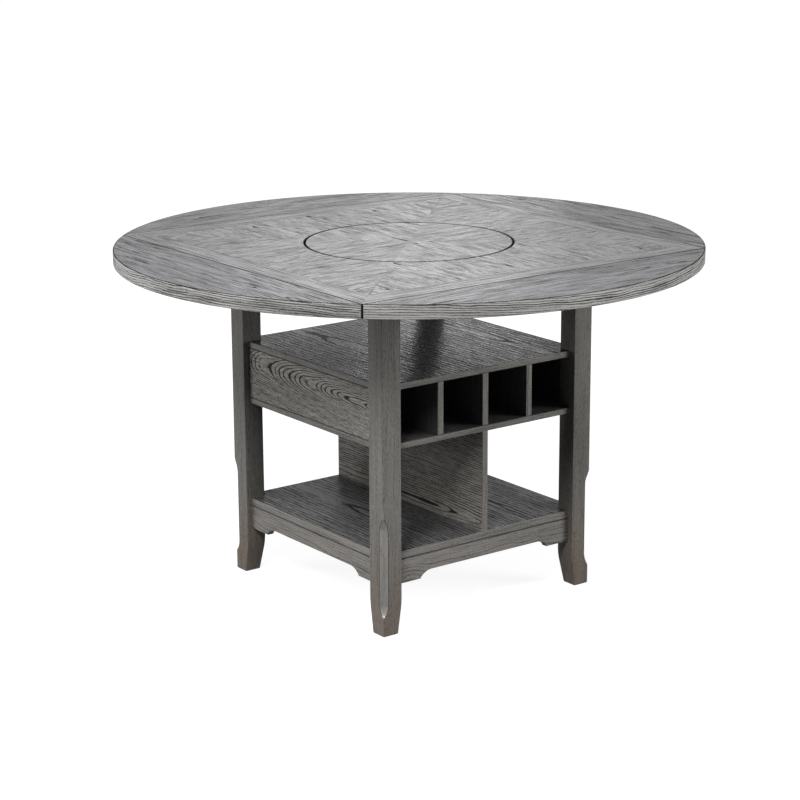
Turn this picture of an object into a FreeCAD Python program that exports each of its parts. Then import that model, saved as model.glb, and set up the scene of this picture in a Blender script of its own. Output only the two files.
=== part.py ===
"""Round counter-height dining table with a lazy susan, four drop leaves and a storage base.

The row frame is the floor centre, +Z up.  The rack opens towards -Y (front) and +Y (back),
its closed side panels face -X (left) and +X (right).  All sizes are millimetres.
"""
import FreeCAD, Part
import math
import os
from types import SimpleNamespace

import Sketcher

V = FreeCAD.Vector
UP = V(0, 0, 1)
ALONG_X = V(1, 0, 0)
FLIP_OVER = FreeCAD.Rotation(ALONG_X, 180)
UPRIGHT_TO_X = FreeCAD.Rotation(V(0, 1, 0), 90)

# The four sides and the four corners, each with its turn about the table's axis.
SIDES = {"front": 0, "right": 90, "back": 180, "left": 270}
CORNERS = {"front_left": 0, "front_right": 90, "back_right": 180, "back_left": 270}

SIZES = [
    ("table_height", 914.4, "floor to the top's upper face, 36 inches"),
    ("top_radius", 762.0, "round top with the leaves up, 60 inches across"),
    ("top_thick", 35.0, "centre panel and leaves"),
    ("square_half", 538.0, "half the side of the centre panel"),
    ("seam_gap", 2.0, "between the centre panel and a leaf"),
    ("disc_radius", 268.5, "lazy susan"),
    ("disc_gap", 4.0, "round the lazy susan"),
    ("disc_thick", 25.0, "lazy susan"),
    ("leg_outer", 337.0, "centre line to a leg's outer face"),
    ("leg_width", 57.0, "square leg"),
    ("foot_width", 45.0, "leg at its foot"),
    ("glide_height", 2.0, "foot glide"),
    ("glide_radius", 11.0, "foot glide"),
    ("taper_top", 100.0, "height where a leg's inner faces start to taper"),
    ("taper_bend_height", 62.0, "height where the taper's curve runs out"),
    ("taper_bend_in", 2.9, "taper's depth there"),
    ("taper_radius", 250.0, "taper's curve"),
    ("corner_cut", 15.0, "flat on a leg's outer corner, along each face"),
    ("cut_low", 51.0, "lower end of the corner flat"),
    ("cut_low_full", 84.0, "height where the flat reaches its depth, below"),
    ("cut_high_full", 272.0, "height where the flat reaches its depth, above"),
    ("cut_high", 328.0, "upper end of the corner flat"),
    ("board_half", 320.5, "centre line to the edges of shelves and aprons"),
    ("board_thick", 16.0, "upper shelf, rack floor and rack side panels"),
    ("shelf_top", 642.0, "upper shelf's upper face"),
    ("rack_floor_top", 491.0, "rack floor's upper face"),
    ("low_shelf_top", 209.0, "lower shelf's upper face"),
    ("low_shelf_thick", 20.0, "lower shelf"),
    ("divider_thick", 18.0, "rack dividers"),
    ("divider_pitch", 143.0, "between rack dividers"),
    ("divider_set_back", 2.0, "divider's edge behind the shelf's edge"),
    ("rack_back_thick", 12.0, "panel across the rack's middle"),
    ("partition_thick", 17.0, "upright panel under the rack"),
    ("apron_thick", 20.0, "lower aprons and top rails"),
    ("apron_ear_low", 125.0, "lower edge of an apron beside the legs"),
    ("apron_mid_low", 144.0, "lower edge of an apron in the middle"),
    ("ear_inner", 207.0, "centre line to an ear's corner"),
    ("scallop_inner", 172.0, "centre line to the end of the ear's curve"),
    ("scallop_radius", 43.6, "the ear's curve"),
    ("rail_height", 75.0, "top rails"),
    ("block_height", 46.0, "corner blocks"),
    ("block_reach", 200.0, "centre line to a corner block's far tip"),
    ("low_block_low", 138.0, "underside of the lower corner blocks"),
    ("bolt_radius", 4.0, "hanger bolt"),
    ("bolt_in_leg", 38.0, "hanger bolt inside the leg"),
    ("bolt_past_block", 14.0, "hanger bolt beyond the block"),
    ("washer_radius", 9.0, "washer"),
    ("washer_thick", 1.5, "washer"),
    ("nut_flat", 13.0, "nut across flats"),
    ("nut_thick", 6.5, "nut"),
    ("susan_board_half", 298.0, "centre line to the edges of the board under the lazy susan"),
    ("susan_board_corner", 198.0, "half of the straight part of those edges"),
    ("susan_board_thick", 15.0, "board under the lazy susan"),
    ("ring_thick", 4.5, "bearing rings"),
    ("ring_inner", 95.0, "lower ring's bore radius"),
    ("ring_mid_low", 118.0, "upper ring's bore radius"),
    ("ring_mid_high", 152.0, "lower ring's outer radius"),
    ("ring_outer", 175.0, "upper ring's outer radius"),
    ("race_radius", 135.0, "ball circle"),
    ("ball_radius", 3.0, "bearing ball"),
    ("race_groove", 3.3, "groove radius"),
    ("low_screw_circle", 105.0, "lower ring's screws"),
    ("high_screw_circle", 165.0, "upper ring's screws"),
    ("access_radius", 12.0, "screwdriver hole under the upper ring's screws"),
    ("screw_radius", 1.9, "wood screw shank"),
    ("screw_length", 16.0, "wood screw under its head"),
    ("head_radius", 4.0, "wood screw head"),
    ("head_thick", 2.0, "wood screw head"),
    ("pilot_radius", 2.0, "screw hole"),
    ("screw_set_back", 7.0, "counterbored screw's seat to the panel it holds"),
    ("counterbore_radius", 5.0, "counterbores"),
    ("plate_thick", 2.0, "hinge and stay plates"),
    ("knuckle_radius", 4.0, "hinge knuckle"),
    ("knuckle_clear", 0.3, "knuckle to wood, and knuckle to knuckle"),
    ("pin_radius", 2.0, "hinge pin"),
    ("pin_clear", 0.05, "hinge pin in its knuckles"),
    ("hinge_length", 76.0, "leaf hinge"),
    ("hinge_reach", 32.0, "hinge axis to a plate's far edge"),
    ("hinge_place", 330.0, "centre line to a hinge's middle"),
    ("hinge_screw_in", 18.0, "hinge axis to its screws"),
    ("hinge_screw_step", 26.0, "between a plate's screws"),
    ("stay_reach", 110.0, "hinge axis to a stay's fixed and leaf pivots, across"),
    ("stay_drop", 10.0, "hinge axis to those pivots, down"),
    ("bar_thick", 3.0, "stay bars and lugs"),
    ("bar_half_width", 8.0, "stay bars and lugs"),
    ("stud_radius", 3.0, "stay pivots"),
    ("stud_clear", 0.08, "stay pivot in its hole"),
    ("stud_head", 5.5, "stay pivot's head"),
    ("flange_half", 13.0, "stay plate along the seam"),
    ("flange_near", 15.0, "stay plate from the pivot towards the seam"),
    ("flange_far", 25.0, "stay plate from the pivot away from the seam"),
    ("stay_screw_out", 18.0, "stay pivot to its screws"),
    ("stay_screw_side", 8.0, "centre line to the stay's screws"),
]

HINGE_KNUCKLES = 5
BALL_COUNT = 24
RING_SCREW_TURNS = (45, 135, 225, 315)
BOARD_SCREWS = [(282, 140), (282, -140)]
BLOCK_SCREWS = [(-225, -290), (-290, -225)]


class Size:
    """A length and the spreadsheet formula that gives it."""

    def __init__(self, value, formula):
        self.value = float(value)
        self.formula = formula

    def __add__(self, other):
        other = size(other)
        return Size(self.value + other.value, f"({self.formula} + {other.formula})")

    def __sub__(self, other):
        other = size(other)
        return Size(self.value - other.value, f"({self.formula} - {other.formula})")

    def __mul__(self, other):
        other = size(other)
        return Size(self.value * other.value, f"({self.formula} * {other.formula})")

    def __truediv__(self, other):
        other = size(other)
        return Size(self.value / other.value, f"({self.formula} / {other.formula})")

    def __neg__(self):
        return Size(-self.value, f"(-1 * {self.formula})")

    def __radd__(self, other):
        return size(other) + self

    def __rmul__(self, other):
        return size(other) * self


def size(number):
    """The number as a Size; a Size stays as it is."""
    return number if isinstance(number, Size) else Size(number, repr(float(number)))


def root(square):
    return Size(math.sqrt(square.value), f"sqrt({square.formula})")


doc = FreeCAD.newDocument("LazySusanTable")
sheet = doc.addObject("Spreadsheet::Sheet", "Sizes")
for row, (alias, number, meaning) in enumerate(SIZES, start=1):
    sheet.set(f"A{row}", alias)
    sheet.set(f"B{row}", str(number))
    sheet.set(f"C{row}", meaning)
    sheet.setAlias(f"B{row}", alias)
doc.recompute()
S = SimpleNamespace(**{alias: Size(number, f"Sizes.{alias}") for alias, number, _ in SIZES})

# Places worked out from the sizes.
ZERO = size(0)
TOP_LOW = S.table_height - S.top_thick
LEG_INNER = S.leg_outer - S.leg_width
LEAF_EDGE = S.square_half + S.seam_gap
HINGE_Y = S.square_half + S.seam_gap / 2
HINGE_DROP = S.knuckle_radius + S.knuckle_clear
HINGE_Z = TOP_LOW - HINGE_DROP
RACK_TOP = S.shelf_top - S.board_thick
APRON_TOP = S.low_shelf_top - S.low_shelf_thick
BOARD_LOW = TOP_LOW - S.susan_board_thick
DISC_LOW = S.table_height - S.disc_thick
SCREW_SEAT = TOP_LOW - S.plate_thick

nodes = {}


def keep(name, obj):
    """Register an object as a node of the model; its label names its file."""
    obj.Label = name
    nodes[name] = obj
    return obj


# ---------------------------------------------------------------- construction helpers

def bind(obj, **properties):
    """Bind properties to formulas; a double underscore stands for a dot."""
    for name, length in properties.items():
        obj.setExpression(name.replace("__", "."), size(length).formula)
    return obj


def turned(x, y, angle):
    """The point (x, y) after a whole number of quarter turns about the table's axis."""
    for _ in range(angle // 90):
        x, y = -y, x
    return x, y


def primitive(kind, name, at=(0, 0, 0), rotation=None, **sizes):
    """A Part primitive with its sizes and its place bound to the sheet."""
    obj = doc.addObject(f"Part::{kind}", name)
    x, y, z = (size(value) for value in at)
    obj.Placement = FreeCAD.Placement(V(x.value, y.value, z.value), rotation or FreeCAD.Rotation())
    return bind(obj, Placement__Base__x=x, Placement__Base__y=y, Placement__Base__z=z, **sizes)


def board(name, low, high, angle=0):
    """A plain board between two corners, then turned about the table's axis."""
    x, y = turned(size(low[0]), size(low[1]), angle)
    return primitive(
        "Box", name, (x, y, low[2]), FreeCAD.Rotation(UP, angle),
        Length=size(high[0]) - low[0], Width=size(high[1]) - low[1], Height=size(high[2]) - low[2])


def joined(name, pieces):
    if len(pieces) == 1:
        return pieces[0]
    fuse = doc.addObject("Part::MultiFuse", name)
    fuse.Shapes = pieces
    return fuse


def cut(name, base, tool):
    result = doc.addObject("Part::Cut", name)
    result.Base = base
    result.Tool = tool
    return result


def new_body(name, level=ZERO, angle=0):
    """A body lifted to its level and turned about the table's axis."""
    body = doc.addObject("PartDesign::Body", name)
    body.Placement = FreeCAD.Placement(V(0, 0, level.value), FreeCAD.Rotation(UP, angle))
    return bind(body, Placement__Base__z=level)


def new_sketch(body, role, offset=ZERO, swing=0):
    """A sketch on an origin plane, moved along its normal and swung about its own y axis."""
    sketch = body.newObject("Sketcher::SketchObject", "Sketch")
    plane = next(item for item in body.Origin.OriginFeatures if item.Role == role)
    sketch.AttachmentSupport = [(plane, "")]
    sketch.MapMode = "FlatFace"
    spin = FreeCAD.Rotation(V(0, 1, 0), swing)
    sketch.AttachmentOffset = FreeCAD.Placement(V(0, 0, offset.value), spin)
    return bind(sketch, AttachmentOffset__Base__z=offset)


def hold_point(sketch, geometry, end, x, y):
    """Fix a point at (x, y), each bound to its formula."""
    for kind, axis, length in (("DistanceX", -2, x), ("DistanceY", -1, y)):
        if abs(length.value) < 1e-9:
            sketch.addConstraint(Sketcher.Constraint("PointOnObject", geometry, end, axis))
            continue
        number = sketch.addConstraint(
            Sketcher.Constraint(kind, -1, 1, geometry, end, length.value))
        name = f"{kind[-1].lower()}_{number}"
        sketch.renameConstraint(number, name)
        sketch.setExpression(f"Constraints.{name}", length.formula)


def hold_radius(sketch, geometry, radius):
    number = sketch.addConstraint(Sketcher.Constraint("Radius", geometry, radius.value))
    sketch.renameConstraint(number, f"radius_{number}")
    sketch.setExpression(f"Constraints.radius_{number}", radius.formula)


def draw_arc(sketch, start, end, radius, side):
    """The short arc from start to end; side +1 has its centre on the left of the way."""
    chord = end - start
    left = V(-chord.y, chord.x, 0).normalize()
    height = math.sqrt(radius.value ** 2 - (chord.Length / 2) ** 2)
    centre = (start + end) * 0.5 + left * side * height
    first, last = (start, end) if side > 0 else (end, start)
    circle = Part.Circle(centre, UP, radius.value)
    begin = math.atan2(first.y - centre.y, first.x - centre.x)
    finish = math.atan2(last.y - centre.y, last.x - centre.x)
    geometry = sketch.addGeometry(Part.ArcOfCircle(circle, begin, finish), False)
    hold_radius(sketch, geometry, radius)
    return (geometry, 1, 2) if side > 0 else (geometry, 2, 1)


def outline(sketch, corners, arcs=None):
    """A closed outline through the corners; arcs gives some edges a (radius, side)."""
    corners = [(size(x), size(y)) for x, y in corners]
    points = [V(x.value, y.value, 0) for x, y in corners]
    edges = []
    for index, start in enumerate(points):
        end = points[(index + 1) % len(points)]
        if arcs and index in arcs:
            edges.append(draw_arc(sketch, start, end, *arcs[index]))
        else:
            edges.append((sketch.addGeometry(Part.LineSegment(start, end), False), 1, 2))
    for index, (geometry, first, last) in enumerate(edges):
        after, after_first, _ = edges[(index + 1) % len(edges)]
        sketch.addConstraint(
            Sketcher.Constraint("Coincident", geometry, last, after, after_first))
        hold_point(sketch, geometry, first, *corners[index])


def hole(sketch, x, y, radius):
    circle = Part.Circle(V(size(x).value, size(y).value, 0), UP, radius.value)
    geometry = sketch.addGeometry(circle, False)
    hold_point(sketch, geometry, 3, size(x), size(y))
    hold_radius(sketch, geometry, radius)


def pad(body, sketch, length, backwards=False, both_ways=False):
    feature = body.newObject("PartDesign::Pad", "Pad")
    feature.Profile = sketch
    feature.Reversed = backwards
    feature.SideType = "Symmetric" if both_ways else "One side"
    return bind(feature, Length=length)


def pocket(body, sketch, length):
    """A pocket to both sides of its sketch; the volume must go down."""
    doc.recompute()
    before = body.Shape.Volume
    feature = body.newObject("PartDesign::Pocket", "Pocket")
    feature.Profile = sketch
    feature.SideType = "Symmetric"
    bind(feature, Length=length)
    doc.recompute()
    if body.Shape.Volume >= before:
        raise RuntimeError(f"{body.Label}: the pocket cuts nothing")
    return feature


def panel(name, corners, level, thick, angle=0, arcs=None, round_hole=None):
    """A flat board: its outline in plan, padded up from its level."""
    body = new_body(name, level, angle)
    sketch = new_sketch(body, "XY_Plane")
    outline(sketch, corners, arcs)
    if round_hole:
        hole(sketch, 0, 0, round_hole)
    pad(body, sketch, thick)
    return body


def upright(name, corners, front, thick, angle=0, arcs=None):
    """A board on edge: its outline in X and Z, its face at -front, padded inwards."""
    body = new_body(name, angle=angle)
    sketch = new_sketch(body, "XZ_Plane", front)
    outline(sketch, corners, arcs)
    pad(body, sketch, thick, backwards=True)
    return body


def group(name, master, places):
    """Copies of one master's shape at the given places, each a solid of its own."""
    doc.recompute()
    copies = []
    for place in places:
        copy = master.Shape.copy()
        copy.Placement = place.multiply(copy.Placement)
        copies.append(copy)
    feature = doc.addObject("Part::Feature", name)
    feature.Shape = Part.makeCompound(copies)
    return feature


def compound(name, pieces):
    result = doc.addObject("Part::Compound", name)
    result.Links = pieces
    return result


def quarter(angle):
    return FreeCAD.Placement(V(0, 0, 0), FreeCAD.Rotation(UP, angle))


def at(x, y, z, rotation=None):
    x, y, z = (size(value).value for value in (x, y, z))
    return FreeCAD.Placement(V(x, y, z), rotation or FreeCAD.Rotation())


# ---------------------------------------------------------------- fasteners

def make_screw():
    """A pan-head wood screw: seat at z = 0, shank up, head down."""
    shank = primitive("Cylinder", "ScrewShank", Radius=S.screw_radius, Height=S.screw_length)
    head = primitive("Cylinder", "ScrewHead", (0, 0, -S.head_thick),
                     Radius=S.head_radius, Height=S.head_thick)
    return joined("ScrewMaster", [shank, head])


def hinge_screw_places(side_of_axis):
    """Seats of the screws of one side's two hinges and its stay plate, before any turn."""
    rows = []
    for centre in (-S.hinge_place, S.hinge_place):
        for step in (-1, 0, 1):
            x = centre + step * S.hinge_screw_step
            rows.append(at(x, side_of_axis * S.hinge_screw_in - HINGE_Y, SCREW_SEAT))
    for step in (-1, 1):
        y = side_of_axis * (S.stay_reach + S.stay_screw_out) - HINGE_Y
        rows.append(at(step * S.stay_screw_side, y, SCREW_SEAT))
    return rows


screw = make_screw()
pilot = primitive("Cylinder", "PilotMaster", Radius=S.pilot_radius, Height=S.screw_length + 0.3)

sunk_screw_places = [
    quarter(turn).multiply(at(x, y, TOP_LOW - S.screw_set_back))
    for turn in SIDES.values() for x, y in BOARD_SCREWS + BLOCK_SCREWS]
fixed_screw_places = list(sunk_screw_places)
for turn in SIDES.values():
    for seat in hinge_screw_places(1):
        fixed_screw_places.append(quarter(turn).multiply(seat))
for turn in RING_SCREW_TURNS:
    seat = at(S.low_screw_circle, 0, TOP_LOW + S.ring_thick, FLIP_OVER)
    fixed_screw_places.append(quarter(turn).multiply(seat))
keep("wood_screws", group("WoodScrews", screw, fixed_screw_places))
fixed_pilots = group("FixedPilots", pilot, fixed_screw_places)

# Counterbores reach from well below the blocks and the board up to the screws' seats.
sink = primitive("Cylinder", "CounterboreMaster", (0, 0, -S.block_height),
                 Radius=S.counterbore_radius, Height=S.block_height)
counterbores = group("Counterbores", sink, sunk_screw_places)


# ---------------------------------------------------------------- table top

def make_centre_panel():
    """The square that fits inside the round top, with the lazy susan's hole."""
    a = S.square_half
    square = [(-a, -a), (a, -a), (a, a), (-a, a)]
    blank = panel("CentreBlank", square, TOP_LOW, S.top_thick,
                  round_hole=S.disc_radius + S.disc_gap)
    return cut("CentrePanel", blank, fixed_pilots)


def make_leaf(side, angle):
    """A drop leaf: the slice of the round top outside one edge of the square."""
    half_chord = root(S.top_radius * S.top_radius - LEAF_EDGE * LEAF_EDGE)
    ends = [(-half_chord, -LEAF_EDGE), (half_chord, -LEAF_EDGE)]
    blank = panel(f"LeafBlank_{side}", ends, TOP_LOW, S.top_thick, angle,
                  arcs={1: (S.top_radius, -1)})
    places = [quarter(angle).multiply(seat) for seat in hinge_screw_places(-1)]
    keep(f"leaf_{side}_screws", group(f"LeafScrews_{side}", screw, places))
    pilots = group(f"LeafPilots_{side}", pilot, places)
    keep(f"leaf_{side}", cut(f"Leaf_{side}", blank, pilots))


keep("centre_panel", make_centre_panel())
for side, angle in SIDES.items():
    make_leaf(side, angle)


# ---------------------------------------------------------------- lazy susan and its bearing

def make_ring(name, inner, outer, low):
    """A flat ring with half of the ball groove in the face that meets the other ring."""
    rim = primitive("Cylinder", f"{name}Rim", (0, 0, low), Radius=outer, Height=S.ring_thick)
    bore = primitive("Cylinder", f"{name}Bore", (0, 0, low - 1),
                     Radius=inner, Height=S.ring_thick + 2)
    ball_level = (TOP_LOW + DISC_LOW) / 2
    groove = primitive("Torus", f"{name}Groove", (0, 0, ball_level),
                       Radius1=S.race_radius, Radius2=S.race_groove)
    return cut(f"{name}Blank", rim, joined(f"{name}Tools", [bore, groove]))


def make_lazy_susan():
    """The disc, two bearing rings, the balls between them and the board that carries them."""
    upper_seat = DISC_LOW - S.ring_thick
    upper_places = [quarter(turn).multiply(at(S.high_screw_circle, 0, upper_seat))
                    for turn in RING_SCREW_TURNS]
    keep("bearing_screws_upper", group("BearingScrewsUpper", screw, upper_places))
    upper_pilots = group("UpperPilots", pilot, upper_places)

    disc = primitive("Cylinder", "DiscBlank", (0, 0, DISC_LOW),
                     Radius=S.disc_radius, Height=S.disc_thick)
    keep("lazy_susan_disc", cut("LazySusanDisc", disc, upper_pilots))
    upper = make_ring("UpperRing", S.ring_mid_low, S.ring_outer, upper_seat)
    keep("bearing_upper_ring", cut("BearingUpperRing", upper, upper_pilots))
    lower = make_ring("LowerRing", S.ring_inner, S.ring_mid_high, TOP_LOW)
    keep("bearing_lower_ring", cut("BearingLowerRing", lower, fixed_pilots))

    ball = primitive("Sphere", "BallMaster", Radius=S.ball_radius)
    ball_places = [quarter(360 * number / BALL_COUNT).multiply(
        at(S.race_radius, 0, (TOP_LOW + DISC_LOW) / 2)) for number in range(BALL_COUNT)]
    keep("bearing_balls", group("BearingBalls", ball, ball_places))

    octagon = []
    for angle in SIDES.values():
        for x in (-S.susan_board_corner, S.susan_board_corner):
            octagon.append(turned(x, -S.susan_board_half, angle))
    blank = panel("SusanBoardBlank", octagon, BOARD_LOW, S.susan_board_thick)
    access = primitive("Cylinder", "AccessHole", (S.high_screw_circle, 0, BOARD_LOW - 1),
                       Radius=S.access_radius, Height=S.susan_board_thick + 2)
    drilled = cut("SusanBoardDrilled", blank, fixed_pilots)
    sunk = cut("SusanBoardSunk", drilled, counterbores)
    keep("lazy_susan_board", cut("LazySusanBoard", sunk, access))


make_lazy_susan()


# ---------------------------------------------------------------- leaf hinges

def make_hinge_half(name, knuckles, way):
    """One half of a leaf hinge; way +1 reaches to +Y, -1 to -Y; its axis is X at z = 0."""
    step = S.hinge_length / HINGE_KNUCKLES
    clear = S.knuckle_radius + 0.5
    low = HINGE_DROP - S.plate_thick
    near, far = (clear, S.hinge_reach) if way > 0 else (-S.hinge_reach, -clear)
    parts = [board(f"{name}Plate", (-S.hinge_length / 2, near, low),
                   (S.hinge_length / 2, far, HINGE_DROP))]
    for number in knuckles:
        start = S.knuckle_clear / 2 - S.hinge_length / 2 + number * step
        end = start + step - S.knuckle_clear
        near, far = (ZERO, clear) if way > 0 else (-clear, ZERO)
        parts.append(board(f"{name}Tongue", (start, near, low), (end, far, HINGE_DROP)))
        parts.append(primitive("Cylinder", f"{name}Knuckle", (start, 0, 0), UPRIGHT_TO_X,
                               Radius=S.knuckle_radius, Height=step - S.knuckle_clear))
    solid = joined(f"{name}Solid", parts)
    bore = primitive("Cylinder", f"{name}Bore", (-S.hinge_length, 0, 0), UPRIGHT_TO_X,
                     Radius=S.pin_radius + S.pin_clear, Height=2 * S.hinge_length)
    holes = [primitive("Cylinder", f"{name}Hole",
                       (way_x * S.hinge_screw_step, way * S.hinge_screw_in, 0),
                       Radius=S.pilot_radius, Height=2 * HINGE_DROP) for way_x in (-1, 0, 1)]
    return cut(name, solid, joined(f"{name}Tools", [bore] + holes))


def hinge_places(angle):
    return [quarter(angle).multiply(at(x, -HINGE_Y, HINGE_Z))
            for x in (-S.hinge_place, S.hinge_place)]


fixed_half = make_hinge_half("FixedHalf", (0, 2, 4), 1)
leaf_half = make_hinge_half("LeafHalf", (1, 3), -1)
pin_start = -S.hinge_length / 2
hinge_pin = primitive("Cylinder", "PinMaster", (pin_start, 0, 0), UPRIGHT_TO_X,
                      Radius=S.pin_radius, Height=S.hinge_length)
all_hinges = [place for angle in SIDES.values() for place in hinge_places(angle)]
keep("hinge_plates_fixed", group("HingePlatesFixed", fixed_half, all_hinges))
keep("hinge_pins", group("HingePins", hinge_pin, all_hinges))
for side, angle in SIDES.items():
    keep(f"leaf_{side}_hinge_plates", group(f"LeafPlates_{side}", leaf_half, hinge_places(angle)))


# ---------------------------------------------------------------- folding leaf stays

# A stay lies across the seam in the middle of a leaf.  Bars and lugs stand in three layers
# beside each other: the fixed lug, then the arm with the leaf's lug, then the link.
LAYER = S.bar_thick + 0.3
LUG_X = -S.bar_thick / 2
ARM_X = LUG_X + LAYER
LINK_X = ARM_X + LAYER
BAR_LENGTH = root(S.stay_reach * S.stay_reach + S.stay_drop * S.stay_drop)
BAR_TILT = math.degrees(math.atan2(S.stay_drop.value, S.stay_reach.value))


def stud(name, x, y, z, length):
    """A riveted pivot: a shank along X and a head at its far end."""
    shank = primitive("Cylinder", f"{name}Shank", (x, y, z), UPRIGHT_TO_X,
                      Radius=S.stud_radius, Height=length)
    head = primitive("Cylinder", f"{name}Head", (x + length, y, z), UPRIGHT_TO_X,
                     Radius=S.stud_head, Height=S.bar_thick / 2)
    return [shank, head]


def make_stay_plate(name, way, layer_x):
    """A screwed plate with a lug and its pivot, on the fixed side (+1) or the leaf's (-1)."""
    low = HINGE_DROP - S.plate_thick
    middle = way * S.stay_reach
    near = middle - way * S.flange_near
    far = middle + way * S.flange_far
    first, last = (near, far) if way > 0 else (far, near)
    flange = board(f"{name}Flange", (-S.flange_half, first, low), (S.flange_half, last, HINGE_DROP))
    half = S.bar_half_width
    lug = board(f"{name}Lug", (layer_x, middle - half, -S.stay_drop - half),
                (layer_x + S.bar_thick, middle + half, low))
    pivot = stud(name, layer_x + S.bar_thick, middle, -S.stay_drop, LAYER + 0.3)
    solid = joined(f"{name}Solid", [flange, lug] + pivot)
    holes = [primitive("Cylinder", f"{name}Hole",
                       (step * S.stay_screw_side, middle + way * S.stay_screw_out, 0),
                       Radius=S.pilot_radius, Height=2 * HINGE_DROP) for step in (-1, 1)]
    return cut(name, solid, joined(f"{name}Tools", holes))


def make_bar(name, layer_x, start_y, start_z, tilt, holes_at):
    """A round-ended flat bar that runs towards -Y from its start, tilted about X."""
    rotation = FreeCAD.Rotation(ALONG_X, tilt)
    half = S.bar_half_width
    middle = board(f"{name}Middle", (0, -BAR_LENGTH, -half), (S.bar_thick, 0, half))
    ends = [primitive("Cylinder", f"{name}End", (0, y, 0), UPRIGHT_TO_X,
                      Radius=half, Height=S.bar_thick) for y in (ZERO, -BAR_LENGTH)]
    solid = joined(f"{name}Solid", [middle] + ends)
    holes = [primitive("Cylinder", f"{name}Hole", (-1, y, 0), UPRIGHT_TO_X,
                       Radius=S.stud_radius + S.stud_clear, Height=S.bar_thick + 2)
             for y in holes_at]
    bar = cut(f"{name}Flat", solid, joined(f"{name}Tools", holes))
    doc.recompute()
    return group(name, bar, [at(layer_x, start_y, start_z, rotation)])


fixed_lug = make_stay_plate("FixedStayPlate", 1, LUG_X)
leaf_lug = make_stay_plate("LeafStayPlate", -1, ARM_X)
arm_bar = make_bar("ArmBar", ARM_X, S.stay_reach, -S.stay_drop, BAR_TILT, [ZERO])
knee = stud("Knee", ARM_X + S.bar_thick - 0.1, ZERO, -2 * S.stay_drop, LAYER + 0.4)
arm = joined("StayArm", [arm_bar] + knee)
link = make_bar("StayLink", LINK_X, ZERO, -2 * S.stay_drop, -BAR_TILT, [ZERO, -BAR_LENGTH])
stay_places = {side: quarter(angle).multiply(at(0, -HINGE_Y, HINGE_Z))
               for side, angle in SIDES.items()}
keep("stay_plates_fixed", group("StayPlatesFixed", fixed_lug, stay_places.values()))
for side, place in stay_places.items():
    keep(f"leaf_{side}_stay_plate", group(f"LeafStayPlate_{side}", leaf_lug, [place]))
    keep(f"stay_{side}_arm", group(f"StayArm_{side}", arm, [place]))
    keep(f"stay_{side}_link", group(f"StayLink_{side}", link, [place]))


# ---------------------------------------------------------------- legs, bolts and blocks

def leg_profile():
    """A leg's inner taper from its foot up to where it runs straight: points and its arc."""
    foot = S.foot_width - S.leg_outer
    bend = -LEG_INNER - S.taper_bend_in
    return [(foot, S.glide_height), (bend, S.taper_bend_height), (-LEG_INNER, S.taper_top)]


def make_leg(name, angle, bolt_holes):
    """A square leg, tapered inside at the foot, with a flat cut on its outer corner."""
    body = new_body(f"{name}Body", angle=angle)
    taper = leg_profile()
    side_view = new_sketch(body, "XZ_Plane", S.leg_outer)
    outline(side_view, [(-S.leg_outer, S.glide_height)] + taper
            + [(-LEG_INNER, TOP_LOW), (-S.leg_outer, TOP_LOW)], arcs={2: (S.taper_radius, 1)})
    pad(body, side_view, S.leg_width, backwards=True)

    other_view = new_sketch(body, "YZ_Plane")
    past = size(5) - LEG_INNER
    outline(other_view, taper + [(past, S.taper_top), (past, S.glide_height - 1),
                                 (S.foot_width - S.leg_outer, S.glide_height - 1)],
            arcs={1: (S.taper_radius, 1)})
    pocket(body, other_view, 3 * S.leg_outer)

    # The corner flat is drawn in the upright plane through the leg's corner and the axis.
    corner = -S.leg_outer * math.sqrt(2)
    depth = S.corner_cut / math.sqrt(2)
    rise = S.cut_low_full - S.cut_low
    cove = (depth * depth + rise * rise) / (2 * depth)
    fall = S.cut_high - S.cut_high_full
    ogee = (depth * depth + fall * fall) / (4 * depth)
    flat = new_sketch(body, "XZ_Plane", swing=45)
    outline(flat, [
        (corner - 3, S.cut_low), (corner, S.cut_low), (corner + depth, S.cut_low_full),
        (corner + depth, S.cut_high_full),
        (corner + depth / 2, (S.cut_high + S.cut_high_full) / 2),
        (corner, S.cut_high), (corner - 3, S.cut_high)],
        arcs={1: (cove, 1), 3: (ogee, 1), 4: (ogee, -1)})
    pocket(body, flat, 4 * S.leg_width)
    keep(name, cut(name.title(), body, bolt_holes))


def along_corner(z):
    """The frame at a leg's inner corner, with its X axis pointing at the table's axis."""
    return at(-LEG_INNER, -LEG_INNER, z, FreeCAD.Rotation(UP, 45))


block_middle = S.block_height / 2
block_levels = (TOP_LOW - S.block_height, S.low_block_low)
rail_inner = S.board_half - S.apron_thick
block_face = (LEG_INNER - (rail_inner + S.block_reach) / 2) * math.sqrt(2)

bolt = primitive("Cylinder", "BoltMaster", (-S.bolt_in_leg, 0, 0), UPRIGHT_TO_X,
                 Radius=S.bolt_radius, Height=S.bolt_in_leg + block_face + S.bolt_past_block)
washer_disc = primitive("Cylinder", "WasherDisc", (block_face, 0, 0), UPRIGHT_TO_X,
                        Radius=S.washer_radius, Height=S.washer_thick)
nut_prism = primitive("Prism", "NutPrism", (block_face + S.washer_thick, 0, 0), UPRIGHT_TO_X,
                      Circumradius=S.nut_flat / math.sqrt(3), Height=S.nut_thick)
bolt_bore = primitive("Cylinder", "BoltBore", (0, 0, 0), UPRIGHT_TO_X,
                      Radius=S.bolt_radius + 0.1, Height=block_face + 2 * S.bolt_past_block)
bolt_set = compound("BoltSet", [bolt, cut("Washer", washer_disc, bolt_bore),
                                cut("Nut", nut_prism, bolt_bore)])
bolt_drill = primitive("Cylinder", "BoltDrill", (-S.bolt_in_leg - 1, 0, 0), UPRIGHT_TO_X,
                       Radius=S.bolt_radius + 0.2, Height=S.bolt_in_leg + 2 * block_face)
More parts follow.
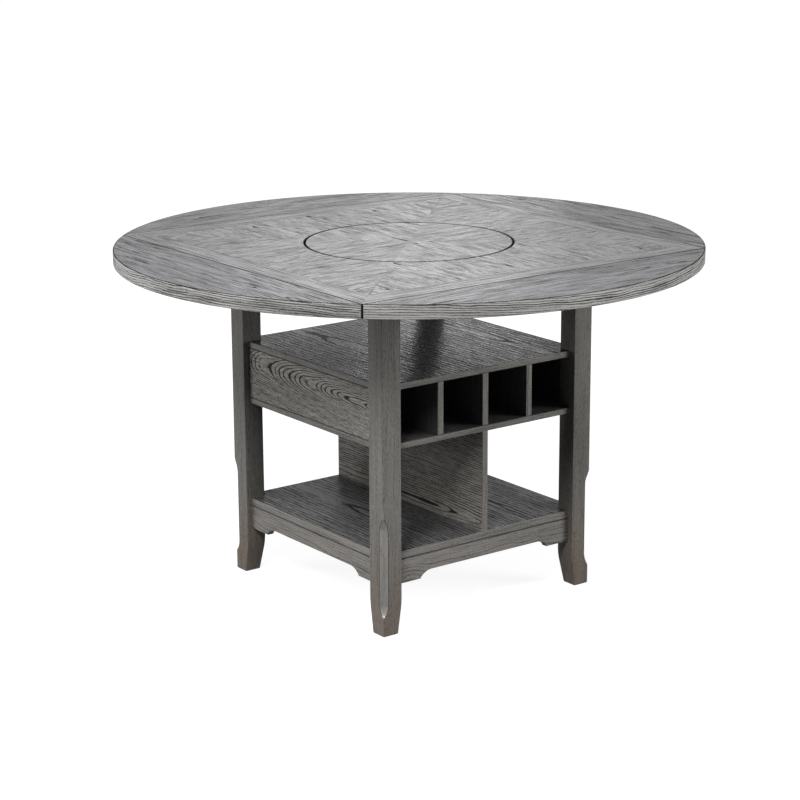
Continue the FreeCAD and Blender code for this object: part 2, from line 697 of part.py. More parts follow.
bolt_places = [quarter(turn).multiply(along_corner(level + block_middle))
               for turn in CORNERS.values() for level in block_levels]
keep("hanger_bolts_and_nuts", group("HangerBoltsAndNuts", bolt_set, bolt_places))
bolt_holes = group("BoltHoles", bolt_drill, bolt_places)

for corner_name, turn in CORNERS.items():
    make_leg(f"leg_{corner_name}", turn, bolt_holes)

block_plan = [(-LEG_INNER, -rail_inner), (-S.block_reach, -rail_inner),
              (-rail_inner, -S.block_reach), (-rail_inner, -LEG_INNER), (-LEG_INNER, -LEG_INNER)]
block_master = panel("BlockMaster", block_plan, ZERO, S.block_height)
block_places = [quarter(turn).multiply(at(0, 0, level))
                for turn in CORNERS.values() for level in block_levels]
blocks = group("BlockBlanks", block_master, block_places)
bolted = cut("BoltedBlocks", blocks, bolt_holes)
drilled = cut("DrilledBlocks", bolted, fixed_pilots)
keep("corner_blocks", cut("CornerBlocks", drilled, counterbores))

glide_middle = S.foot_width / 2 - S.leg_outer
glide = primitive("Cylinder", "GlideMaster", (glide_middle, glide_middle, 0),
                  Radius=S.glide_radius, Height=S.glide_height)
keep("foot_glides", group("FootGlides", glide, [quarter(turn) for turn in CORNERS.values()]))


# ---------------------------------------------------------------- rails, aprons and shelves

def make_apron(name, angle):
    """A lower apron: deep ears beside the legs, curved up to a shallower middle."""
    ear = S.apron_ear_low
    middle = S.apron_mid_low
    corners = [(-LEG_INNER, ear), (-S.ear_inner, ear), (-S.scallop_inner, middle),
               (S.scallop_inner, middle), (S.ear_inner, ear), (LEG_INNER, ear),
               (LEG_INNER, APRON_TOP), (-LEG_INNER, APRON_TOP)]
    arcs = {1: (S.scallop_radius, -1), 3: (S.scallop_radius, -1)}
    keep(name, upright(name.title(), corners, S.board_half, S.apron_thick, angle, arcs))


def notched_panel(name, level, thick):
    """A square shelf with a notch round each leg."""
    edge = S.board_half
    notch = LEG_INNER
    corners = []
    for angle in SIDES.values():
        for x, y in ((-edge, -notch), (-notch, -notch), (-notch, -edge)):
            corners.append(turned(x, y, angle))
    return keep(name, panel(name.title(), corners, level, thick))


for side, angle in SIDES.items():
    make_apron(f"lower_apron_{side}", angle)
    keep(f"top_rail_{side}", board(
        f"TopRail_{side}", (-LEG_INNER, -S.board_half, TOP_LOW - S.rail_height),
        (LEG_INNER, -rail_inner, TOP_LOW), angle))

notched_panel("lower_shelf", APRON_TOP, S.low_shelf_thick)
notched_panel("rack_floor", S.rack_floor_top - S.board_thick, S.board_thick)
notched_panel("upper_shelf", RACK_TOP, S.board_thick)


# ---------------------------------------------------------------- rack and partition

for side in ("left", "right"):
    keep(f"rack_side_{side}", board(
        f"RackSide_{side}", (-LEG_INNER, -S.board_half, S.rack_floor_top),
        (LEG_INNER, S.board_thick - S.board_half, RACK_TOP), SIDES[side]))

half_back = S.rack_back_thick / 2
half_divider = S.divider_thick / 2
slot_level = (S.rack_floor_top + RACK_TOP) / 2
divider_end = S.board_half - S.divider_set_back


def make_divider(name, x):
    """A rack divider, slotted from above where it crosses the rack's middle panel."""
    body = new_body(f"{name}Body")
    sketch = new_sketch(body, "YZ_Plane", x)
    outline(sketch, [
        (-divider_end, S.rack_floor_top), (divider_end, S.rack_floor_top),
        (divider_end, RACK_TOP), (half_back, RACK_TOP), (half_back, slot_level),
        (-half_back, slot_level), (-half_back, RACK_TOP), (-divider_end, RACK_TOP)])
    pad(body, sketch, S.divider_thick, both_ways=True)
    keep(name, body)


def make_rack_back():
    """The panel across the rack's middle, slotted from below over the dividers."""
    end = S.board_half - S.board_thick
    corners = [(-end, S.rack_floor_top)]
    for step in (-1, 0, 1):
        middle = step * S.divider_pitch
        for x, z in ((middle - half_divider, S.rack_floor_top), (middle - half_divider, slot_level),
                     (middle + half_divider, slot_level),
                     (middle + half_divider, S.rack_floor_top)):
            corners.append((x, z))
    corners += [(end, S.rack_floor_top), (end, RACK_TOP), (-end, RACK_TOP)]
    keep("rack_back", upright("RackBack", corners, half_back, S.rack_back_thick))


make_divider("rack_divider_left", -S.divider_pitch)
make_divider("rack_divider_middle", ZERO)
make_divider("rack_divider_right", S.divider_pitch)
make_rack_back()

half_partition = S.partition_thick / 2
keep("partition", board(
    "Partition", (-half_partition, -divider_end, S.low_shelf_top),
    (half_partition, divider_end, S.rack_floor_top - S.board_thick)))


# ---------------------------------------------------------------- check and write

doc.recompute()
for obj in doc.Objects:
    if {"Invalid", "Error"} & set(obj.State):
        raise RuntimeError(f"{obj.Name}: {obj.State}")
for name, obj in nodes.items():
    if obj.Shape.isNull() or not obj.Shape.isValid() or not obj.Shape.Solids:
        raise RuntimeError(f"{name}: the shape is not valid")
os.makedirs("parts", exist_ok=True)
for name, obj in nodes.items():
    obj.Shape.exportStep(f"parts/{name}.step")
    print(f"{name}: {len(obj.Shape.Solids)} solids, {obj.Shape.Volume / 1000:.1f} cm3")
print(len(nodes), "nodes")
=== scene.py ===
"""Round counter-height table in grey-stained oak veneer, dressed for looks.

Every wooden piece is a closed skin worked out with numpy.  Each face corner carries the
attribute "grain": the corner's place in the trunk that its wood was cut from, in metres along
the trunk, across it and out from its heart.  The oak finish draws its growth rings, pores and
fibres from that place, so straight grain and cathedral figure come from how a board was cut.
"""

import math

import bmesh
import bpy
import numpy as np
from mathutils import Matrix, Vector


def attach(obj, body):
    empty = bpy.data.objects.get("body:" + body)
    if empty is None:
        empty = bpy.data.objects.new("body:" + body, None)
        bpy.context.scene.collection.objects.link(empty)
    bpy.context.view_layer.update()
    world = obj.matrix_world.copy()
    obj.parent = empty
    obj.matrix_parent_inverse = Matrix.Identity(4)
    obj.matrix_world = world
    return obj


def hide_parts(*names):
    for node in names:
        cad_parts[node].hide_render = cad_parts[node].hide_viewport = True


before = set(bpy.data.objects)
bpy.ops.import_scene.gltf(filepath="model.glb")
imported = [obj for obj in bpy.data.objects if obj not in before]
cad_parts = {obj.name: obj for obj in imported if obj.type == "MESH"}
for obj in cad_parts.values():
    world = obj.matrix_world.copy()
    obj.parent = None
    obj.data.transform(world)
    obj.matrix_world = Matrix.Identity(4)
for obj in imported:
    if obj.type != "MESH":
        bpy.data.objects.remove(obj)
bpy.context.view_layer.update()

# Quarter turns from the front side and from the front left corner.
SIDES = {"front": 0, "right": 1, "back": 2, "left": 3}
CORNERS = {"front_left": 0, "front_right": 1, "back_right": 2, "back_left": 3}
QUARTER_TURNS = ((1, 0), (0, 1), (-1, 0), (0, -1))    # cosine and sine of each

# Sizes in metres, the same as the solids'.
TOP_HIGH = 0.9144
TOP_THICK = 0.035
TOP_LOW = TOP_HIGH - TOP_THICK
TOP_RADIUS = 0.762
SQUARE_HALF = 0.538
SEAM = 0.002
LEAF_EDGE = SQUARE_HALF + SEAM
DISC_RADIUS = 0.2685
DISC_GAP = 0.004
HOLE_RADIUS = DISC_RADIUS + DISC_GAP
DISC_THICK = 0.025
LEG_OUTER = 0.337
LEG_WIDTH = 0.057
LEG_INNER = LEG_OUTER - LEG_WIDTH
LEG_LOW = 0.002
FLAT_SETBACK = 0.015                    # how far a leg's flat reaches along its outer faces
COVE_LOW, COVE_TOP = 0.051, 0.084
OGEE_LOW, OGEE_TOP = 0.272, 0.328
SHELF_EDGE = 0.3205
BOARD_THICK = 0.016                     # upper shelf, rack floor and rack sides
RACK_LOW = 0.475                        # underside of the rack floor
RACK_FLOOR = RACK_LOW + BOARD_THICK
RACK_TOP = 0.626
RACK_SIDE_BACK = SHELF_EDGE - BOARD_THICK
RACK_BACK_THICK = 0.012
DIVIDER_PITCH = 0.143
DIVIDERS = {"left": -DIVIDER_PITCH, "middle": 0.0, "right": DIVIDER_PITCH}
DIVIDER_THICK = 0.018
SET_BACK = 0.002                        # dividers and partition, behind the shelves' edges
PANEL_REACH = SHELF_EDGE - SET_BACK     # half their length
PARTITION_THICK = 0.017
LOW_SHELF_TOP = 0.209
LOW_SHELF_THICK = 0.020
APRON_TOP = LOW_SHELF_TOP - LOW_SHELF_THICK
RAIL_HIGH = 0.075
RAIL_THICK = 0.020
RAIL_BACK = SHELF_EDGE - RAIL_THICK     # inner faces of the aprons and top rails

# Sizes that only the veneer and the rounded edges have.
VENEER_WIDTH = 0.2
VENEER_JOINTS = (-0.3, -0.1, 0.1, 0.3)
INNER_JOINTS = VENEER_JOINTS[1:3]       # those that meet the hole and the disc's rim
BORDER_INNER = 0.470
LINE_WIDTH = 0.0010                     # dark line between the veneer and the border
CORNER_LINE = 0.004                     # painted shade at the ends of the panel's straight edges, where the seams meet
FACE_INSET = 0.0006                     # from an edge's round to the first line of the face
TOP_ROUND = 0.0012                      # rounds of the square panel and the disc
PANEL_FACE = SQUARE_HALF - (TOP_ROUND + FACE_INSET)
HOLE_FACE = HOLE_RADIUS + (TOP_ROUND + FACE_INSET)
DISC_FACE = DISC_RADIUS - TOP_ROUND - FACE_INSET

CUT_LENGTH = 3.1                        # along the trunk, from one board's grain to the next
WELDS_PER_METRE = 2e5                   # corners that round to the same step become one
SHARP_EDGE = math.radians(35)
NEAR = 1e-6                             # two values this close are the same

X = np.array([1.0, 0.0, 0.0])
Y = np.array([0.0, 1.0, 0.0])
Z = np.array([0.0, 0.0, 1.0])


# ---------------------------------------------------------------- grain and skins

def lay(points, along, across, at, depth=0.0, slope=0.0, cut=0, tilt=0.0):
    """Places in the trunk: u along, v across, w = depth + slope u + height over the board.

    cut counts boards along the trunk, so that no two share their figure; tilt turns the
    fibres in the board's face."""
    offset = np.asarray(points) - np.asarray(at, float)
    c, s = math.cos(tilt), math.sin(tilt)
    u = offset @ (c * along + s * across)
    v = offset @ (c * across - s * along)
    w = depth + slope * u + offset @ np.cross(along, across)
    return np.stack([u + CUT_LENGTH * cut, v, w], axis=-1)


def points_at(x, y, z):
    """A grid of points from coordinates that are numbers, lines or grids."""
    return np.stack(np.broadcast_arrays(x, y, z), axis=-1)


def merged(digits, *places):
    """All the places in rising order, each once."""
    return np.unique(np.round(np.concatenate(places), digits))


class Skin:
    """Faces of one piece, with their grain and finish, welded into a closed mesh."""

    def __init__(self):
        self.quads = []
        self.quad_grain = []
        self.quad_finish = []
        self.caps = []

    def grid(self, points, grain, finish=0):
        """Quads between the neighbours in a grid of points (rows, columns, 3)."""
        points = np.asarray(points, float)
        for store, values in ((self.quads, points), (self.quad_grain, grain(points))):
            store.append(np.stack([values[:-1, :-1], values[1:, :-1], values[1:, 1:],
                                   values[:-1, 1:]], axis=2).reshape(-1, 4, 3))
        self.quad_finish.append(np.full(len(self.quads[-1]), finish))

    def cap(self, points, grain, finish=0):
        """One flat face with many corners."""
        points = np.asarray(points, float)
        self.caps.append((points, grain(points), finish))

    def turned(self, quarter_turns):
        """The same skin turned about the table's axis; its grain stays with it."""
        c, s = QUARTER_TURNS[quarter_turns]
        turn = np.array([[c, s, 0], [-s, c, 0], [0, 0, 1]], float)
        other = Skin()
        other.quads = [quad @ turn for quad in self.quads]
        other.quad_grain = self.quad_grain
        other.quad_finish = self.quad_finish
        other.caps = [(points @ turn, grain, finish) for points, grain, finish in self.caps]
        return other

    def join(self, other):
        """Takes in the faces of another skin."""
        self.quads += other.quads
        self.quad_grain += other.quad_grain
        self.quad_finish += other.quad_finish
        self.caps += other.caps

    def mesh(self, name):
        """Welds equal corners, drops collapsed ones and writes the mesh with its grain."""
        quads = np.concatenate(self.quads)
        corners = np.concatenate([quads.reshape(-1, 3)] + [points for points, _, _ in self.caps])
        grain = np.concatenate([np.concatenate(self.quad_grain).reshape(-1, 3)]
                               + [values for _, values, _ in self.caps])
        grid = np.round(corners * WELDS_PER_METRE).astype(np.int64)
        welds, first, index = np.unique(grid, axis=0, return_index=True, return_inverse=True)
        index = index.reshape(-1)
        count = len(quads) * 4
        four = index[:count].reshape(-1, 4)
        stays = (four != np.roll(four, -1, axis=1)).reshape(-1)
        sizes = stays.reshape(-1, 4).sum(axis=1)
        good = sizes > 2
        stays &= np.repeat(good, 4)
        keep = np.concatenate([stays, np.ones(len(index) - count, bool)])
        totals = np.concatenate([sizes[good], [len(points) for points, _, _ in self.caps]])
        totals = totals.astype(np.int32)
        finish = np.concatenate([np.concatenate(self.quad_finish)[good],
                                 [value for _, _, value in self.caps]])
        data = bpy.data.meshes.new(name)
        data.vertices.add(len(welds))
        data.vertices.foreach_set("co", corners[first].astype(np.float32).ravel())
        data.loops.add(int(keep.sum()))
        data.loops.foreach_set("vertex_index", index[keep].astype(np.int32))
        data.polygons.add(len(totals))
        data.polygons.foreach_set(
            "loop_start", np.concatenate([[0], np.cumsum(totals)[:-1]]).astype(np.int32))
        data.polygons.foreach_set("material_index", finish.astype(np.int32))
        data.update(calc_edges=True)
        data.attributes.new("grain", "FLOAT_VECTOR", "CORNER").data.foreach_set(
            "vector", grain[keep].astype(np.float32).ravel())
        shell = bmesh.new()
        shell.from_mesh(data)
        bmesh.ops.recalc_face_normals(shell, faces=shell.faces)
        shell.to_mesh(data)
        shell.free()
        data.shade_smooth()
        data.set_sharp_from_angle(angle=SHARP_EDGE)
        return data


def show(name, skin, body, node, finishes):
    """Makes the piece, gives it its finishes, and lets it ride and stand for its node."""
    piece = bpy.data.objects.new(name, skin.mesh(name))
    bpy.context.scene.collection.objects.link(piece)
    for finish in finishes:
        piece.data.materials.append(finish)
    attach(piece, body)
    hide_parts(node)


# ---------------------------------------------------------------- boards

ROUND_STEPS = 4

# Rows of the edge profile, from the first to the one after the last.
UPPER_ROUND = (0, ROUND_STEPS + 2)
FLAT = (ROUND_STEPS + 1, ROUND_STEPS + 3)
LOWER_ROUND = (ROUND_STEPS + 2, 2 * ROUND_STEPS + 4)


def edge_profile(thick, radius):
    """Insets and heights down a board's edge: a quarter round, the flat, a quarter round.

    The first and last stations lie on the faces, a little inside the rounds."""
    angle = np.linspace(0, math.pi / 2, ROUND_STEPS + 1)
    inset = radius * (1 - np.sin(angle))
    drop = radius * (1 - np.cos(angle))
    face = radius + FACE_INSET
    insets = np.concatenate([[face], inset, inset[::-1], [face]])
    heights = np.concatenate([[thick], thick - drop, drop[::-1], [0]])
    return insets, heights


def inward(outline):
    """For each corner of a closed outline, run anticlockwise, the step that insets it by one:
    the sum of its two sides' normals over one plus their dot product."""
    before = outline - np.roll(outline, 1, axis=0)
    after = np.roll(outline, -1, axis=0) - outline
    normals = []
    for edge in (before, after):
        edge = edge / np.linalg.norm(edge, axis=1, keepdims=True)
        normals.append(np.stack([-edge[:, 1], edge[:, 0]], axis=1))
    total = normals[0] + normals[1]
    return total / (1 + np.sum(normals[0] * normals[1], axis=1))[:, None]


def board_skin(outline, thick, place, grain, edge_grain=None, radius=0.0015, split=None,
               finishes=(0, 0, 0), edges=None):
    """A board: its outline offset inwards by the edge profile's inset at each height.

    place maps (a, b, height) to the table's frame.  split gives two halves of the faces,
    by the sign of a, each with its own grain.  finishes are for top, edge and underside;
    edges may give, for each side of the outline, those of its upper round, flat and lower
    round."""
    skin = Skin()
    outline = np.asarray(outline, float)
    step = inward(outline)
    insets, heights = edge_profile(thick, radius)
    flat = outline[None] + insets[:, None, None] * step[None]
    lift = np.broadcast_to(heights[:, None, None], flat.shape[:2] + (1,))
    rings = place(np.concatenate([flat, lift], axis=2))
    closed = np.concatenate([rings, rings[:, :1]], axis=1)
    if edges is None:
        edges = [(finishes[1],) * 3] * len(outline)
    for number, bands in enumerate(edges):
        for (first, last), finish in zip((UPPER_ROUND, FLAT, LOWER_ROUND), bands):
            skin.grid(closed[first:last, number:number + 2], edge_grain or grain, finish)
    for ring, across, finish in ((rings[0], flat[0, :, 0], finishes[0]),
                                 (rings[-1][::-1], flat[-1, ::-1, 0], finishes[2])):
        if split is None:
            skin.cap(ring, grain, finish)
            continue
        for sign, half_grain in zip((-1, 1), split):
            skin.cap(ring[sign * across >= -NEAR], half_grain, finish)
    return skin


def flat_on(level):
    """Places a board drawn in X and Y at its level."""
    return lambda p: np.stack([p[..., 0], p[..., 1], p[..., 2] + level], axis=-1)


def facing_front(y):
    """Places a board drawn in X and Z; its thickness runs from y towards the front."""
    return lambda p: np.stack([p[..., 0], y - p[..., 2], p[..., 1]], axis=-1)


def facing_left(x):
    """Places a board drawn in Y (to the right as seen from the left side) and Z; its
    thickness runs from x towards the left."""
    return lambda p: np.stack([x - p[..., 2], -p[..., 0], p[..., 1]], axis=-1)


def rectangle(low, high):
    """The outline of a rectangle, from its lower left corner to its upper right one."""
    (a, b), (c, d) = low, high
    return np.array([(a, b), (c, b), (c, d), (a, d)])


def upright(points):
    """Fibres run up an edge."""
    return lay(points, Z, X, (-0.10, 0.0, 0.0), 0.08, 0.004, 150)


# ---------------------------------------------------------------- table top

def strip(skin, v, stations, grain, finish=0):
    """Quads between lines of points: v across and the X of each station, at the top's height."""
    skin.grid(np.stack([points_at(x, v, TOP_HIGH) for x in stations]), grain, finish)


def veneer_leaves(skin, v, stations, leaf_grain):
    """Adds a strip leaf by leaf; leaf_grain(number) gives each veneer leaf's grain."""
    edges = [v[0]] + [joint for joint in VENEER_JOINTS if v[0] < joint < v[-1]] + [v[-1]]
    for low, high in zip(edges[:-1], edges[1:]):
        inside = (v >= low - NEAR) & (v <= high + NEAR)
        number = int(round((low + high) / 2 / VENEER_WIDTH - NEAR))
        strip(skin, v[inside], [x[inside] for x in stations], leaf_grain(number))


def radial_grain(number, quarter, disc):
    """Veneer whose fibres run out from the centre; neighbours are book-matched."""
    sign = -1.0 if number % 2 else 1.0
    depth, slope = (0.004, 0.04) if disc else (-0.014 + 0.003 * (quarter % 2), 0.062)
    return lambda p: lay(p, X, sign * Y, (0.0, VENEER_WIDTH * number, TOP_HIGH), depth, slope,
                         cut=quarter * 7 + abs(number) + (3 if disc else 0))


def border_grain(quarter):
    """The border's fibres run along it."""
    return lambda p: lay(p, Y, X, (0.41, 0.0, TOP_HIGH), 0.03, 0.01, 40 + quarter)


def top_edge_grain(at_x, cut):
    """Straight fibres along an upright edge of the top."""
    return lambda p: lay(p, Y, Z, (at_x, 0.0, 0.70), 0.05, 0.0, cut)


def underside_grain(at_x, level, depth, cut):
    """Nearly straight fibres along Y on an underside."""
    return lambda p: lay(p, Y, X, (at_x, 0.0, level), depth, 0.01, cut)


def quarter_angles(radius):
    """Angles across the quarter towards +X: even ones and those where the joints end."""
    even = np.linspace(-math.pi / 4, math.pi / 4, 25)
    return merged(9, even, [math.asin(joint / radius) for joint in INNER_JOINTS])


def panel_face(skin, field, border, quarter):
    """Veneer from the hole's circle, or the mitre x = |y|, to the dark line, then the border
    out to the edge."""
    circle = np.sqrt(np.maximum(HOLE_FACE ** 2 - field ** 2, 0))
    at_hole = np.abs(field) < HOLE_FACE / math.sqrt(2) - NEAR
    outer = np.full_like(field, BORDER_INNER - LINE_WIDTH)
    inner = np.minimum(np.where(at_hole, circle, np.abs(field)), outer)
    veneer_leaves(skin, field, [inner, outer],
                  lambda number: radial_grain(number, quarter, False))
    strip(skin, field, [outer, np.maximum(np.abs(field), outer + LINE_WIDTH)], border_grain(0), 1)
    strip(skin, border, [np.maximum(np.abs(border), BORDER_INNER),
                         np.full_like(border, PANEL_FACE)], border_grain(quarter))


def panel_edge(skin, border):
    """The edge profile swept along the straight edge and mitred at both ends; its upper round
    and its ends are dark, painted shade in the seams.
    """
    insets, heights = edge_profile(TOP_THICK, TOP_ROUND)
    reach = SQUARE_HALF - insets[:, None]
    across = np.where(np.abs(border)[None] > PANEL_FACE - NEAR,
                      np.sign(border)[None] * reach, border[None])
    edge = points_at(reach, across, TOP_LOW + heights[:, None])
    first, last = UPPER_ROUND
    grain = top_edge_grain(0.5, 50)
    skin.grid(edge[first:last], grain, 1)
    for left, right, finish in ((0, 2, 1), (1, -1, 2), (-2, None, 1)):
        skin.grid(edge[last - 1:, left:right], grain, finish)


def round_wall(skin, angle, radii, low, heights, cut):
    """The edge profile turned about the table's axis, dark with painted shade from the gap
    between the disc and its hole; gives its lowest line of points.
    """
    wall = points_at(radii[:, None] * np.cos(angle), radii[:, None] * np.sin(angle),
                     low + heights[:, None])
    skin.grid(wall, top_edge_grain(0.3, cut), 1)
    return wall[-1]


def centre_panel():
    """The square panel: four mitred quarters of radial veneer inside a mitred border.

    Finishes: 0 veneer, 1 dark joint line, and painted shade along the seams and the hole, 2 edge."""
    angle = quarter_angles(HOLE_FACE)
    field = merged(7, HOLE_FACE * np.sin(angle), VENEER_JOINTS, (-BORDER_INNER, BORDER_INNER))
    near = PANEL_FACE - CORNER_LINE
    border = merged(7, field, (-PANEL_FACE, -near, near, PANEL_FACE))
    insets, heights = edge_profile(TOP_THICK, TOP_ROUND)
    whole = Skin()
    for quarter in range(4):
        part = Skin()
        panel_face(part, field, border, quarter)
        panel_edge(part, border)
        lip = round_wall(part, angle, HOLE_RADIUS + insets, TOP_LOW, heights, 51)
        loop = np.concatenate([lip, points_at(PANEL_FACE, border[::-1], TOP_LOW)])
        part.cap(loop, underside_grain(0.2, TOP_LOW, 0.06, 52))
        whole.join(part.turned(quarter))
    return whole


def susan_disc():
    """The disc: the same four quarters of radial veneer, inside its rounded rim.

    Finishes: 0 veneer, 1 rim, dark with painted shade from the gap round it."""
    angle = quarter_angles(DISC_FACE)
    across = DISC_FACE * np.sin(angle)
    low = TOP_HIGH - DISC_THICK
    insets, heights = edge_profile(DISC_THICK, TOP_ROUND)
    whole = Skin()
    for quarter in range(4):
        part = Skin()
        veneer_leaves(part, across, [np.abs(across), DISC_FACE * np.cos(angle)],
                      lambda number, q=quarter: radial_grain(number, q, True))
        lip = round_wall(part, angle, DISC_RADIUS - insets, low, heights, 60)
        part.cap(np.concatenate([lip, [[0.0, 0.0, low]]]), underside_grain(0.2, low, 0.06, 61))
        whole.join(part.turned(quarter))
    return whole


def leaf_skin(cut):
    """The leaf that points to +X: a slice of the round top with a banded rim.

    Its outline is the chord, two small bevelled tips and the arc, inset by the edge profile.
    The rim's grain follows the arc's length.  Finishes: 0 veneer, 1 dark line, 2 rim, 3 the
    edge along the chord."""
    tip, tip_side = 0.0008, 0.0004
    reach = math.acos((LEAF_EDGE + tip) / TOP_RADIUS)
    angle = np.linspace(-reach, reach, 97)
    arc = TOP_RADIUS * np.stack([np.cos(angle), np.sin(angle)], axis=1)
    end = arc[-1, 1] - tip_side
    chord_v = np.linspace(end, -end, 25)
    chord = np.stack([np.full_like(chord_v, LEAF_EDGE), chord_v], axis=1)
    outline = np.concatenate([arc, chord])
    rim_round, chord_share = 0.0020, 0.4
    insets, heights = edge_profile(TOP_THICK, rim_round)
    share = np.where(np.arange(len(outline)) < len(arc), 1.0, chord_share)
    flat = outline[None] + (insets[:, None] * share)[:, :, None] * inward(outline)[None]
    rings = points_at(flat[..., 0], flat[..., 1], TOP_LOW + heights[:, None])
    closed = np.concatenate([rings, rings[:, :1]], axis=1)
    rim = closed[:, :len(arc)]
    straight = closed[:, len(arc) - 1:]

    def rim_grain(points):
        """Along the arc, up the rim with a slow wave, and in from it."""
        along = TOP_RADIUS * np.arctan2(points[..., 1], points[..., 0])
        inside = TOP_RADIUS - np.hypot(points[..., 0], points[..., 1])
        wave = 0.010 * np.sin(5.0 * along + cut)
        return np.stack([along + CUT_LENGTH * (cut + 20), points[..., 2] - 0.800 + wave,
                         0.05 + inside], axis=-1)

    def top_grain(points):
        """Fibres run along the chord."""
        return lay(points, Y, X, (0.632, 0.05, TOP_HIGH), 0.010, 0.03, cut)

    skin = Skin()
    dark_rows = 5
    skin.grid(rim[:dark_rows], rim_grain, 1)
    skin.grid(rim[dark_rows - 1:], rim_grain, 2)
    first, last = UPPER_ROUND
    skin.grid(straight[first:last], top_grain)
    skin.grid(straight[last - 1:], top_edge_grain(0.5, cut + 5), 3)
    skin.cap(rings[0], top_grain)
    skin.cap(rings[-1][::-1], underside_grain(0.5, TOP_LOW, 0.05, cut + 9))
    return skin


# ---------------------------------------------------------------- legs

def foot_taper(z):
    """How far a leg's inner faces are cut back: straight up from the foot, then an arc of
    250 mm radius that runs out into the face."""
    arc_top, arc_low, radius = 0.100, 0.062, 0.250
    arc_cut, foot_cut = 0.0029, 0.012
    arc = radius - np.sqrt(np.maximum(radius ** 2 - (arc_top - z) ** 2, 0))
    straight = arc_cut + (arc_low - z) * (foot_cut - arc_cut) / (arc_low - LEG_LOW)
    return np.where(z > arc_top, 0.0, np.where(z > arc_low, arc, straight))


def corner_depth(z):
    """Depth of the flat on a leg's outer corner: a cove below, an ogee above.

    The cove is an arc of radius (d d + h h) / 2d, for the depth d and its height h; the ogee
    is two equal arcs of radius (d d + h h) / 4d."""
    depth = FLAT_SETBACK / math.sqrt(2)
    cove = (depth ** 2 + (COVE_TOP - COVE_LOW) ** 2) / (2 * depth)
    ogee = (depth ** 2 + (OGEE_TOP - OGEE_LOW) ** 2) / (4 * depth)
    rise = depth - cove + np.sqrt(np.maximum(cove ** 2 - (COVE_TOP - z) ** 2, 0))
    bend = depth - ogee + np.sqrt(np.maximum(ogee ** 2 - (z - OGEE_LOW) ** 2, 0))
    run_out = ogee - np.sqrt(np.maximum(ogee ** 2 - (OGEE_TOP - z) ** 2, 0))
    result = np.where(z < COVE_LOW, 0.0, rise)
    result = np.where(z >= COVE_TOP, depth, result)
    result = np.where(z > OGEE_LOW, bend, result)
    result = np.where(z > (OGEE_LOW + OGEE_TOP) / 2, run_out, result)
    return np.where(z > OGEE_TOP, 0.0, np.maximum(result, 0.0))


def leg_skin(cut):
    """The leg at the front left corner: its plan at each height is a square whose inner sides
    follow the foot's taper and whose outer corner follows the flat.  Its other corners, and
    the outer one where there is no flat, are softened by a small round.

    Finishes: 0 faces, 1 the dark lines beside the flat, 2 the flat, paler with painted light."""
    bevel_top, above_bevel, above_ogee = 0.0032, 0.0052, 0.334
    taper_low, taper_high = 0.045, 0.110
    z = merged(6, (LEG_LOW, bevel_top, above_bevel, COVE_LOW, TOP_LOW),
               np.linspace(taper_low, taper_high, 45), np.linspace(OGEE_LOW, OGEE_TOP, 33),
               np.linspace(above_ogee, TOP_LOW, 8))
    bevel = np.where(z < bevel_top, 0.0012, 0.0)
    outer = -LEG_OUTER + bevel
    inner = -LEG_INNER - foot_taper(z) - bevel
    soft = 0.0016
    bow = soft * (1 - math.sqrt(0.5))
    flat = np.maximum(corner_depth(z) * math.sqrt(2), soft)
    cut_off = flat > 2 * soft
    bulge = np.where(cut_off, 0.0, 0.2 * soft)
    line = np.where(cut_off, 0.0015, 0.0002)
    columns = [
        (outer + flat, outer), (outer + flat + line, outer), (inner - soft, outer),
        (inner - bow, outer + bow), (inner, outer + soft), (inner, inner - soft),
        (inner - bow, inner - bow), (inner - soft, inner), (outer + soft, inner),
        (outer + bow, inner - bow), (outer, inner - soft), (outer, outer + flat + line),
        (outer, outer + flat), (outer + flat / 2 - bulge, outer + flat / 2 - bulge)]
    rings = np.stack([points_at(x, y, z) for x, y in columns], axis=1)
    closed = np.concatenate([rings, rings[:, :1]], axis=1)

    def grain(points):
        """Fibres run up the leg."""
        return lay(points, Z, X, (-0.46, -0.40, 0.0), 0.09, 0.006, cut)

    skin = Skin()
    low, high = np.searchsorted(z, (COVE_LOW - NEAR, OGEE_TOP + NEAR))
    for first, last in ((0, low + 1), (low, high), (high - 1, len(z))):
        dark = int(first == low)
        skin.grid(closed[first:last, :2], grain, dark)
        skin.grid(closed[first:last, 1:12], grain)
        skin.grid(closed[first:last, 11:13], grain, dark)
        skin.grid(closed[first:last, 12:], grain, 2 * dark)
    skin.cap(rings[0], grain)
    skin.cap(rings[-1], grain)
    return skin


# ---------------------------------------------------------------- shelves, rack and aprons

def notched():
    """Outline of a shelf: a square with a notch round each leg, and a point on the middle of
    its front and back edges, where the two veneer halves meet."""
    corner = np.array([(-SHELF_EDGE, -LEG_INNER), (-LEG_INNER, -LEG_INNER),
                       (-LEG_INNER, -SHELF_EDGE), (0.0, -SHELF_EDGE)])
    points = []
    for quarter, (c, s) in enumerate(QUARTER_TURNS):
        turned = corner @ np.array([[c, s], [-s, c]])
        points.append(turned if quarter in (0, 2) else turned[:3])
    return np.concatenate(points)


